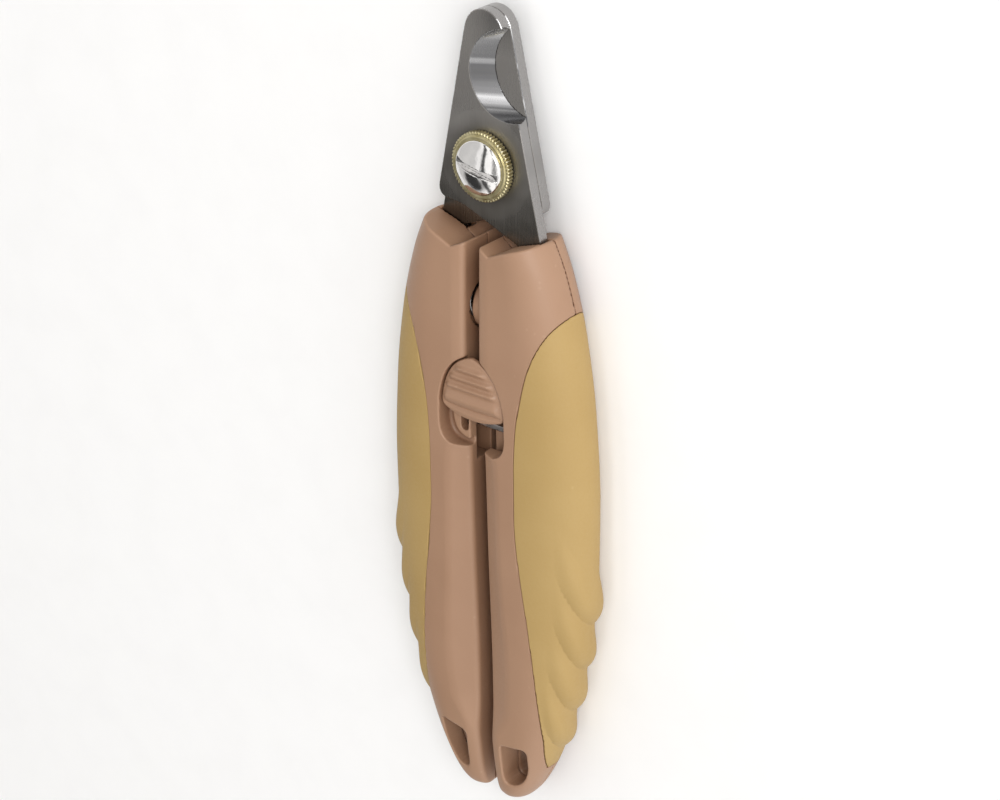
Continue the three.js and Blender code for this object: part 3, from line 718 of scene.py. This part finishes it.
def catch_pin_field(x, y, z):
    """The headed pin that the hook reaches round."""
    u, v = x - CATCH_PIN[0], y - CATCH_PIN[1]
    return round_min(rod_field(u, v, z, 0.8, 0.3, 3), rod_field(u, v, z, 1.2, 2.5, 4.5, 0.2), 0.05)


pieces["lock_button"] = carved_piece("lock_button_cap", button_field, "lock_button", 0.2, 0.4)
pieces["lock_hook"] = carved_piece("lock_hook_plate", hook_field, "lock_hook", 0.2, 0.3)
pieces["lock_push_nut"] = carved_piece("lock_push_nut_ring", push_nut_field, "lock_push_nut", 0.12, 0.3)
pieces["catch_pin"] = carved_piece("catch_pin_turned", catch_pin_field, "catch_pin", 0.12, 0.3)


# ---------- fasteners, cups and springs ----------
SCREW_HEAD = (2.1, 1.4)  # radius and height
SCREW_RADIUS = 0.95
SCREW_PITCH = 0.7
THREAD_HEIGHT = 0.09
CROSS_HALF_WIDTH = 0.28
CROSS_FLOOR = 0.6  # behind the head's front face
TANG_PIN = (8, -60)


def screw_field(spot, side, end):
    """A cross-head screw from the back, with its thread."""

    def field(x, y, z):
        u, v = x - side * spot[0], y - spot[1]
        radius = np.hypot(u, v)
        head = rod_field(u, v, z, SCREW_HEAD[0], -SCREW_SEAT - SCREW_HEAD[1], -SCREW_SEAT, 0.4)
        reach = 1.2 + 0.35 * (-SCREW_SEAT - SCREW_HEAD[1] - z)
        arm = np.maximum(np.minimum(np.abs(u), np.abs(v)) - CROSS_HALF_WIDTH, radius - reach)
        head = carve(head, np.maximum(arm, z + SCREW_SEAT + CROSS_FLOOR), 0.06)
        turns = (z + np.arctan2(v, u) / (2 * math.pi) * SCREW_PITCH) / SCREW_PITCH
        thread = THREAD_HEIGHT * (np.abs(turns % 1 - 0.5) * 4 - 1)
        shank = (radius - SCREW_RADIUS - thread) * 0.8
        shank = np.maximum(shank, np.maximum(-SCREW_SEAT - z, z - end))
        return np.minimum(head, shank)

    return field


def pin_field(side):
    """The pin through a tang."""
    return lambda x, y, z: rod_field(x - side * TANG_PIN[0], y - TANG_PIN[1], z, 1.5, -4, 4.5, 0.35)


def cup_field(side, mouth):
    """A cup round the spring's axis, with a stub inside that centres the spring."""

    def field(x, y, z):
        u, v = y - SPRING_AXIS[0], z - SPRING_AXIS[1]
        along_axis = side * x
        outer = rod_field(u, v, along_axis, CUP_RADIUS, mouth, CUP_BASE, 0.3)
        hollow = np.maximum(np.hypot(u, v) - CUP_RADIUS + CUP_WALL, along_axis - (CUP_BASE - CUP_FLOOR))
        form = carve(outer, hollow, 0.2)
        return round_min(form, rod_field(u, v, along_axis, *CUP_STUB, 0.3), 0.3)

    return field


for side, hand in ((1, "right"), (-1, "left")):
    for place, spot, end in (("upper", UPPER_SCREW, 4.2), ("lower", LOWER_SCREW, 3.6)):
        node = f"{hand}_{place}_screw"
        pieces[node] = carved_piece(node + "_turned", screw_field(spot, side, end), node, 0.14, 0.3)
    node = f"{hand}_tang_pin"
    pieces[node] = carved_piece(node + "_turned", pin_field(side), node, 0.2, 0.3)
pieces["right_spring_cup"] = carved_piece("right_spring_cup_moulding", cup_field(1, -1.3),
                                          "right_spring_cup", 0.22)
pieces["left_spring_socket"] = carved_piece("left_spring_socket_moulding", cup_field(-1, HALF_GAP + 0.7),
                                            "left_spring_socket", 0.22)


def swept_wire(name, path, radius, sides=12):
    """A round wire along points, with closed ends."""
    path = np.array(path, float)
    tangent = np.gradient(path, axis=0)
    tangent /= np.linalg.norm(tangent, axis=1, keepdims=True)
    normal = np.cross(tangent, [1, 0, 0])
    normal /= np.maximum(np.linalg.norm(normal, axis=1, keepdims=True), TINY)
    binormal = np.cross(tangent, normal)
    angles = np.linspace(0, 2 * math.pi, sides, endpoint=False)
    cosines, sines = np.cos(angles)[None, :, None], np.sin(angles)[None, :, None]
    ring = radius * (cosines * normal[:, None] + sines * binormal[:, None])
    points = (path[:, None] + ring).reshape(-1, 3)
    faces = []
    for i in range(len(path) - 1):
        for k in range(sides):
            a, b = i * sides + k, i * sides + (k + 1) % sides
            faces.append((a, b, b + sides, a + sides))
    faces.append(tuple(range(sides))[::-1])
    faces.append(tuple(range((len(path) - 1) * sides, len(path) * sides)))
    return mesh_object(name, points, faces)


SPRING_TURNS = 7
SPRING_STEPS = 40  # for each turn
SPRING_RADIUS = 3.3
SPRING_WIRE = 0.5  # its radius
SPRING_CLOSING = 0.045  # share of the length by which turns are moved towards the ends
SPRING_REACH = CUP_BASE - CUP_FLOOR - 0.3 - 0.55  # from the middle, clear of the cups' floors


def spring_path():
    """Points along the coil, from the left cup to the right one."""
    count = SPRING_TURNS * SPRING_STEPS
    for k in range(count + 1):
        t = k / count
        angle = 2 * math.pi * SPRING_TURNS * t
        squeeze = t - SPRING_CLOSING * math.sin(2 * math.pi * t)
        yield (
            -SPRING_REACH + 2 * SPRING_REACH * squeeze,
            SPRING_AXIS[0] + SPRING_RADIUS * math.cos(angle),
            SPRING_AXIS[1] + SPRING_RADIUS * math.sin(angle),
        )


pieces["handle_spring"] = swept_wire("handle_spring_coil", list(spring_path()), SPRING_WIRE)

STRIP_START = (-8.2, -41.5)
STRIP_LENGTH = 14
STRIP_BOW = 2
STRIP_THICK = 0.4
STRIP_STEPS = 32


def detent_strip():
    """The bowed leaf: a section for each step along the bow, joined up."""
    low, high = HOOK_FACES
    ts = np.linspace(0, 1, STRIP_STEPS + 1)
    line = np.stack([
        STRIP_START[0] + STRIP_BOW * np.sin(ts * math.pi), STRIP_START[1] - STRIP_LENGTH * ts,
    ], axis=1)
    points = []
    for x, y in line:
        points += [(x - STRIP_THICK, y, low), (x, y, low), (x, y, high), (x - STRIP_THICK, y, high)]
    faces = [(0, 1, 2, 3), tuple(4 * STRIP_STEPS + k for k in (3, 2, 1, 0))]
    for i in range(STRIP_STEPS):
        for k in range(4):
            a, b = 4 * i + k, 4 * i + (k + 1) % 4
            faces.append((a, a + 4, b + 4, b))
    return mesh_object("lock_detent_strip", points, faces)


pieces["lock_detent_spring"] = detent_strip()


# ---------- materials ----------
class Look:
    """A material built from nodes, with its pattern fixed to each piece's own coordinates."""

    def __init__(self, name, roughness, metallic=0.0):
        self.material = bpy.data.materials.new(name)
        self.material.use_nodes = True
        self.tree = self.material.node_tree
        self.shader = self.tree.nodes["Principled BSDF"]
        self.shader.inputs["Roughness"].default_value = roughness
        self.shader.inputs["Metallic"].default_value = metallic
        self.place = self.add("ShaderNodeTexCoord").outputs["Object"]

    def add(self, kind, inputs=None, **settings):
        """A new node, with values or links for its inputs."""
        made = self.tree.nodes.new(kind)
        for key, value in settings.items():
            setattr(made, key, value)
        for key, value in (inputs or {}).items():
            if isinstance(value, bpy.types.NodeSocket):
                self.tree.links.new(value, made.inputs[key])
            else:
                made.inputs[key].default_value = value
        return made

    def noise(self, scale, detail=2.0, stretch=(1, 1, 1)):
        """Noise with a number of features per metre, finer along the axes with a larger stretch."""
        mapping = self.add("ShaderNodeMapping", {"Vector": self.place, "Scale": stretch})
        return self.add(
            "ShaderNodeTexNoise", {"Vector": mapping.outputs["Vector"], "Scale": scale, "Detail": detail}
        ).outputs["Fac"]

    def spread(self, value, low, high, to_low, to_high):
        """A value moved from one range to another, and kept in it."""
        numbers = {"Value": value, "From Min": low, "From Max": high, "To Min": to_low, "To Max": to_high}
        return self.add("ShaderNodeMapRange", numbers).outputs["Result"]

    def math(self, operation, first, second):
        return self.add("ShaderNodeMath", {0: first, 1: second}, operation=operation).outputs["Value"]

    def mix(self, share, first, second):
        """The first colour with a share of the second one."""
        made = self.add("ShaderNodeMix", data_type="RGBA")
        for index, value in ((0, share), (6, first), (7, second)):
            if isinstance(value, bpy.types.NodeSocket):
                self.tree.links.new(value, made.inputs[index])
            else:
                made.inputs[index].default_value = value if index == 0 else (*value, 1)
        return made.outputs[2]

    def varied(self, noise, low, high, first, second):
        """A colour that drifts from one to another as the noise goes from low to high."""
        return self.mix(self.spread(noise, low, high, 0, 1), first, second)

    def worn(self, color, low, high, share, pale):
        """A colour, with a share of a paler one on sharp outer edges."""
        sharp = self.add("ShaderNodeNewGeometry").outputs["Pointiness"]
        return self.mix(self.math("MULTIPLY", self.spread(sharp, low, high, 0, 1), share), color, pale)

    def painted_gap_shade(self, color, reach, share, dark):
        """A colour, with a share of a darker one as painted shade deep in gaps and holes."""
        open_sky = self.add("ShaderNodeAmbientOcclusion", {"Distance": reach}, samples=8).outputs["AO"]
        return self.mix(self.math("MULTIPLY", self.spread(open_sky, 0.2, 0.75, 1, 0), share), color, dark)

    def finish(self, color, roughness=None, relief=None, height=0.00001):
        """The material, with its colour, roughness and a relief of some height in metres."""
        self.tree.links.new(color, self.shader.inputs["Base Color"])
        if roughness:
            self.tree.links.new(roughness, self.shader.inputs["Roughness"])
        if relief:
            bump = self.add("ShaderNodeBump", {"Height": relief, "Distance": height})
            self.tree.links.new(bump.outputs["Normal"], self.shader.inputs["Normal"])
        return self.material


def set_stops(ramp, stops, tint):
    """A colour ramp's stops, from (place, brightness) pairs and one tint."""
    for place, level in stops:
        ramp.elements.new(place).color = (*(level * part for part in tint), 1)
    ramp.elements.remove(ramp.elements[0])
    ramp.elements.remove(ramp.elements[len(ramp.elements) - 1])


def plastic_look():
    """Hard plastic with a fine spark-eroded grain, a little paler where hands wear its edges, and painted
    shade deep in its gaps and holes.
    """
    look = Look("handle_plastic_look", 0.45)
    clouds = look.noise(55, 3)
    color = look.varied(clouds, 0.35, 0.65, (0.345, 0.2, 0.122), (0.37, 0.218, 0.136))
    color = look.worn(color, 0.58, 0.7, 0.3, (0.5, 0.33, 0.23))
    # Painted shade: the plastic is darker deep in gaps, holes and pockets.
    color = look.painted_gap_shade(color, 0.006, 0.75, (0.15, 0.062, 0.028))
    grain = look.noise(2600, 2)
    return look.finish(color, look.spread(grain, 0.3, 0.7, 0.4, 0.52), grain, 0.000012)


def soft_grip_look():
    """Soft rubbery grip with a velvety surface."""
    look = Look("soft_grip_look", 0.6)
    clouds = look.noise(45, 3)
    color = look.varied(clouds, 0.35, 0.65, (0.4, 0.263, 0.092), (0.428, 0.288, 0.108))
    color = look.worn(color, 0.64, 0.76, 0.25, (0.52, 0.38, 0.18))
    grain = look.noise(1900, 2)
    return look.finish(color, look.spread(grain, 0.3, 0.7, 0.55, 0.7), grain, 0.00002)


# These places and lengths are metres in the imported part's frame.
NOTCH_MIDDLE = (0.005, PIVOT[1] + 0.0175)
NOTCH_REACH = 0.0098
NOTCH_HALF_HEIGHT = 0.0085
NOTCH_FACING = (0.6, 0.37)  # the height of a notch wall's unit normals, and how much that may vary
PAINTED_SHADE_RISE = (-0.012, 0.010)  # from the pivot up: painted shade, where the steel starts and stops getting brighter
DARKER_ACROSS = (-0.004, 0.002)  # across: where the head's darker side starts, and where it is darkest
DARKER_UP = (0.002, 0.009)  # and the same from the notch's middle up
NUT_PAINTED_SHADOW = (0.0068, 0.0098)  # from the pivot: where the painted shadow round the nut starts and ends
NUT_BLUR = (0.0072, 0.0102)  # and where the duller ground ring starts and ends
NOTCH_REFLECTION_TONES = [
    (0, 0.2), (0.05, 0.12), (0.08, 0.36), (0.1, 0.14), (0.14, 0.55), (0.19, 0.75), (0.24, 0.33), (0.42, 0.2),
    (0.53, 0.23), (0.55, 0.5), (0.575, 0.5), (0.6, 0.24), (0.8, 0.27), (1, 0.3),
]  # painted reflection bands, from the notch's lower end to its upper end


def notch_look(look, parts, up, facing):
    """Where a notch's slanted wall is, and its polished steel with painted reflections: bands across it."""
    across = look.math("SUBTRACT", look.math("ABSOLUTE", parts["X"], 0), NOTCH_MIDDLE[0])
    offset = look.add("ShaderNodeCombineXYZ", {"X": across, "Y": up}).outputs["Vector"]
    radius = look.add("ShaderNodeVectorMath", {0: offset}, operation="LENGTH").outputs["Value"]
    slanted = look.math("COMPARE", facing, NOTCH_FACING[0])
    slanted.node.inputs[2].default_value = NOTCH_FACING[1]
    in_notch = look.math("MULTIPLY", slanted, look.math("LESS_THAN", radius, NOTCH_REACH))
    streaks = look.noise(1300, 3, (0.02, 1, 0.02))
    height = look.spread(up, -NOTCH_HALF_HEIGHT, NOTCH_HALF_HEIGHT, 0, 1)
    height = look.math("ADD", height, look.spread(streaks, 0.3, 0.7, -0.012, 0.012))
    # Painted reflections: light and dark bands up the notch's wall.
    reflection_tones = look.add("ShaderNodeValToRGB", {"Fac": height})
    set_stops(reflection_tones.color_ramp, NOTCH_REFLECTION_TONES, (1, 1, 1.02))
    scuffs = look.spread(streaks, 0.35, 0.7, 0, 0.3)
    return in_notch, look.mix(scuffs, reflection_tones.outputs["Color"], (0.16, 0.16, 0.18))


def blade_look():
    """Ground stainless steel with painted shade, darker towards the pivot and round the nut, and a polished
    hollow-ground notch with painted reflection bands.
    """
    look = Look("blade_steel_look", 0.24, 1.0)
    parts = look.add("ShaderNodeSeparateXYZ", {"Vector": look.place}).outputs
    normal = look.add("ShaderNodeNewGeometry").outputs["Normal"]
    facing = look.math("ABSOLUTE", look.add("ShaderNodeSeparateXYZ", {"Vector": normal}).outputs["Z"], 0)
    up = look.math("SUBTRACT", parts["Y"], NOTCH_MIDDLE[1])
    in_notch, notch_reflection_color = notch_look(look, parts, up, facing)
    lines = look.noise(1500, 3, (3, 0.05, 3))
    clouds = look.noise(110, 2)
    # Painted shade: the faces are darker towards the pivot and brighter towards the tip.
    shade = look.spread(look.math("ADD", parts["Y"], look.spread(clouds, 0.3, 0.7, -0.004, 0.004)),
                        PIVOT[1] + PAINTED_SHADE_RISE[0], PIVOT[1] + PAINTED_SHADE_RISE[1], 0, 1)
    color = look.mix(shade, (0.12, 0.11, 0.095), (0.46, 0.44, 0.42))
    # A darker patch on one side of the head, towards its upper end; only the colour changes.
    darker_side = look.math("MULTIPLY", look.spread(parts["X"], *DARKER_ACROSS, 0, 0.75),
                     look.spread(up, *DARKER_UP, 0, 1))
    color = look.mix(darker_side, color, (0.17, 0.165, 0.16))
    color = look.mix(look.spread(lines, 0.3, 0.7, 0, 0.18), color, (0.3, 0.29, 0.28))
    sides = look.math("LESS_THAN", facing, 0.5)
    color = look.mix(sides, color, (0.34, 0.33, 0.325))
    color = look.mix(in_notch, color, notch_reflection_color)
    from_pivot = look.add("ShaderNodeVectorMath", {
        0: look.add("ShaderNodeCombineXYZ", {"X": parts["X"], "Y": parts["Y"]}).outputs["Vector"],
        1: (0, PIVOT[1], 0),
    }, operation="DISTANCE").outputs["Value"]
    # Painted shadow: a dark ring on the blade round the nut.
    color = look.mix(look.spread(from_pivot, *NUT_PAINTED_SHADOW, 0.6, 0), color, (0.06, 0.055, 0.045))
    roughness = look.spread(look.math("ADD", lines, clouds), 0.6, 1.4, 0.22, 0.32)
    roughness = look.math("ADD", roughness, look.spread(from_pivot, *NUT_BLUR, 0.2, 0))
    return look.finish(color, roughness, lines, 0.0000015)


def turned_steel_look():
    """Bright turned or stamped steel with fine turning lines and a few dull patches."""
    look = Look("bright_steel_look", 0.28, 1.0)
    patches = look.noise(320, 3)
    color = look.varied(patches, 0.35, 0.7, (0.42, 0.385, 0.37), (0.58, 0.54, 0.52))
    lines = look.noise(1500, 2, (1, 1, 5))
    return look.finish(color, look.spread(patches, 0.3, 0.7, 0.2, 0.36), lines, 0.000006)


def chrome_look():
    """Polished chrome with faint smudges and hairline scratches."""
    look = Look("screw_chrome_look", 0.07, 1.0)
    smudges = look.noise(260, 3)
    color = look.varied(smudges, 0.35, 0.7, (0.72, 0.71, 0.71), (0.86, 0.85, 0.84))
    scratches = look.noise(1400, 3, (1, 6, 1))
    roughness = look.spread(look.math("ADD", smudges, scratches), 0.7, 1.35, 0.04, 0.16)
    return look.finish(color, roughness, smudges, 0.00012)


def brass_look():
    """Dull yellow-passivated nut, paler on the worn crests of its knurling."""
    look = Look("nut_brass_look", 0.34, 1.0)
    patches = look.noise(380, 3)
    color = look.varied(patches, 0.35, 0.7, (0.5, 0.43, 0.22), (0.66, 0.6, 0.38))
    color = look.worn(color, 0.53, 0.62, 0.8, (0.85, 0.8, 0.6))
    return look.finish(color, look.spread(patches, 0.3, 0.7, 0.26, 0.44), patches, 0.00003)


def floor_look():
    """Pale paper with faint fibres."""
    look = Look("floor_paper", 0.85)
    fibres = look.noise(90, 4)
    color = look.varied(fibres, 0.3, 0.7, (0.93, 0.93, 0.93), (0.95, 0.95, 0.95))
    return look.finish(color, None, fibres, 0.00003)


looks = {
    "handle_plastic": plastic_look(),
    "soft_grip": soft_grip_look(),
    "blade_steel": blade_look(),
    "bright_steel": turned_steel_look(),
    "screw_chrome": chrome_look(),
    "nut_brass": brass_look(),
}


# ---------- bodies, slots and replaced nodes ----------
bodies = frame["record"]["behaviour"]["bodies"]
slots = {row["node"]: row["material_slot"] for row in frame["record"]["subparts"]}
for body, members in bodies.items():
    for name in members:
        piece = pieces[name]
        piece.data.materials.append(looks[slots[name]])
        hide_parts(name)
        if name != "handle_spring":
            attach(piece, body)
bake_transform(pieces["handle_spring"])


# ---------- floor, light and camera ----------
FLOOR_SIZE = 4


def floor_plane():
    """A flat square floor under the trimmer."""
    half = FLOOR_SIZE / 2
    mesh = bpy.data.meshes.new("floor")
    corners = [(-half, -half, 0), (half, -half, 0), (half, half, 0), (-half, half, 0)]
    mesh.from_pydata(corners, [], [(0, 1, 2, 3)])
    mesh.materials.append(floor_look())
    made = bpy.data.objects.new("floor", mesh)
    bpy.context.collection.objects.link(made)
    return made


floor = floor_plane()


def area_light(name, place, target, size, power):
    """A rectangular light at a place, turned to a target."""
    lamp = bpy.data.lights.new(name, "AREA")
    lamp.shape = "RECTANGLE"
    lamp.size, lamp.size_y = size
    lamp.energy = power
    made = bpy.data.objects.new(name, lamp)
    made.location = place
    direction = Vector(target) - Vector(place)
    made.rotation_euler = direction.to_track_quat("-Z", "Y").to_euler()
    bpy.context.collection.objects.link(made)


area_light("key_light", place=(0.6, 0.4, 0.65), target=(0, -0.02, 0), size=(0.35, 0.35), power=3.8)
bpy.context.scene.view_settings.view_transform = "Standard"

# The surroundings are a pale tent. A dark card stands where the blades' flat faces mirror it, and
# darker strips overhead give the polished dome its bands.
DARK_CARD = (-0.58, -0.62, 0.53)
STRIPS = [
    (0.0, 0.56), (0.28, 0.62), (0.33, 0.95), (0.37, 0.95), (0.41, 0.08), (0.46, 0.08), (0.5, 1), (0.62, 1.05),
    (0.66, 0.3), (0.7, 0.3), (0.74, 1.1), (1, 1.1),
]  # from -X to +X
CARD_REACH = (0.27, 0.5)  # from the card's middle: where its full darkness ends, and its soft edge
CARD_TONE = 0.06
WORLD_STRENGTH = 1.2
WORLD_TINT = (1, 0.985, 0.965)


def studio_world():
    """The surroundings' brightness in each direction: the strips, dimmed where the card stands."""
    world = bpy.data.worlds.new("studio")
    bpy.context.scene.world = world
    world.use_nodes = True
    tree = world.node_tree
    background = tree.nodes["Background"]
    background.inputs["Strength"].default_value = WORLD_STRENGTH
    direction = tree.nodes.new("ShaderNodeTexCoord")
    parts = tree.nodes.new("ShaderNodeSeparateXYZ")
    ramp = tree.nodes.new("ShaderNodeValToRGB")
    to_share = tree.nodes.new("ShaderNodeMapRange")
    to_share.inputs["From Min"].default_value = -1
    away = tree.nodes.new("ShaderNodeVectorMath")
    away.operation = "DISTANCE"
    away.inputs[1].default_value = DARK_CARD
    card = tree.nodes.new("ShaderNodeMapRange")
    card.interpolation_type = "SMOOTHSTEP"
    card.inputs["From Min"].default_value = CARD_REACH[0]
    card.inputs["From Max"].default_value = CARD_REACH[1]
    card.inputs["To Min"].default_value = CARD_TONE
    shade = tree.nodes.new("ShaderNodeVectorMath")
    shade.operation = "SCALE"
    for start, end in (
        (direction.outputs["Generated"], parts.inputs["Vector"]),
        (parts.outputs["X"], to_share.inputs["Value"]),
        (to_share.outputs["Result"], ramp.inputs["Fac"]),
        (direction.outputs["Generated"], away.inputs[0]),
        (away.outputs["Value"], card.inputs["Value"]),
        (ramp.outputs["Color"], shade.inputs[0]),
        (card.outputs["Result"], shade.inputs["Scale"]),
        (shade.outputs["Vector"], background.inputs["Color"]),
    ):
        tree.links.new(start, end)
    set_stops(ramp.color_ramp, STRIPS, WORLD_TINT)


studio_world()

CAMERA_AZIMUTH = math.radians(39.006)  # round the trimmer's long axis
CAMERA_RISE = math.radians(26.185)  # towards the blade tip
CAMERA_ROLL = math.radians(-0.777)
CAMERA_DISTANCE = 459.69
CAMERA_TARGET = Vector((0.703, -46.564, 0))  # in the working frame, in millimetres
CAMERA_LENS = 90
CAMERA_SENSOR = 36

back = Vector((
    math.sin(CAMERA_AZIMUTH) * math.cos(CAMERA_RISE), math.sin(CAMERA_RISE),
    math.cos(CAMERA_AZIMUTH) * math.cos(CAMERA_RISE),
))
level = Vector((0, 1, 0)).cross(back).normalized()
upright = back.cross(level)
right_axis = level * math.cos(CAMERA_ROLL) + upright * math.sin(CAMERA_ROLL)
up_axis = upright * math.cos(CAMERA_ROLL) - level * math.sin(CAMERA_ROLL)
lens = bpy.data.cameras.new("camera")
lens.lens = CAMERA_LENS
lens.sensor_width = CAMERA_SENSOR
camera = bpy.data.objects.new("camera", lens)
turn = Matrix((right_axis, up_axis, back)).transposed()
camera.matrix_world = (
    Matrix.Translation((CAMERA_TARGET + back * CAMERA_DISTANCE) * METRES + PIVOT) @ turn.to_4x4()
)
bpy.context.collection.objects.link(camera)
bpy.context.scene.camera = camera
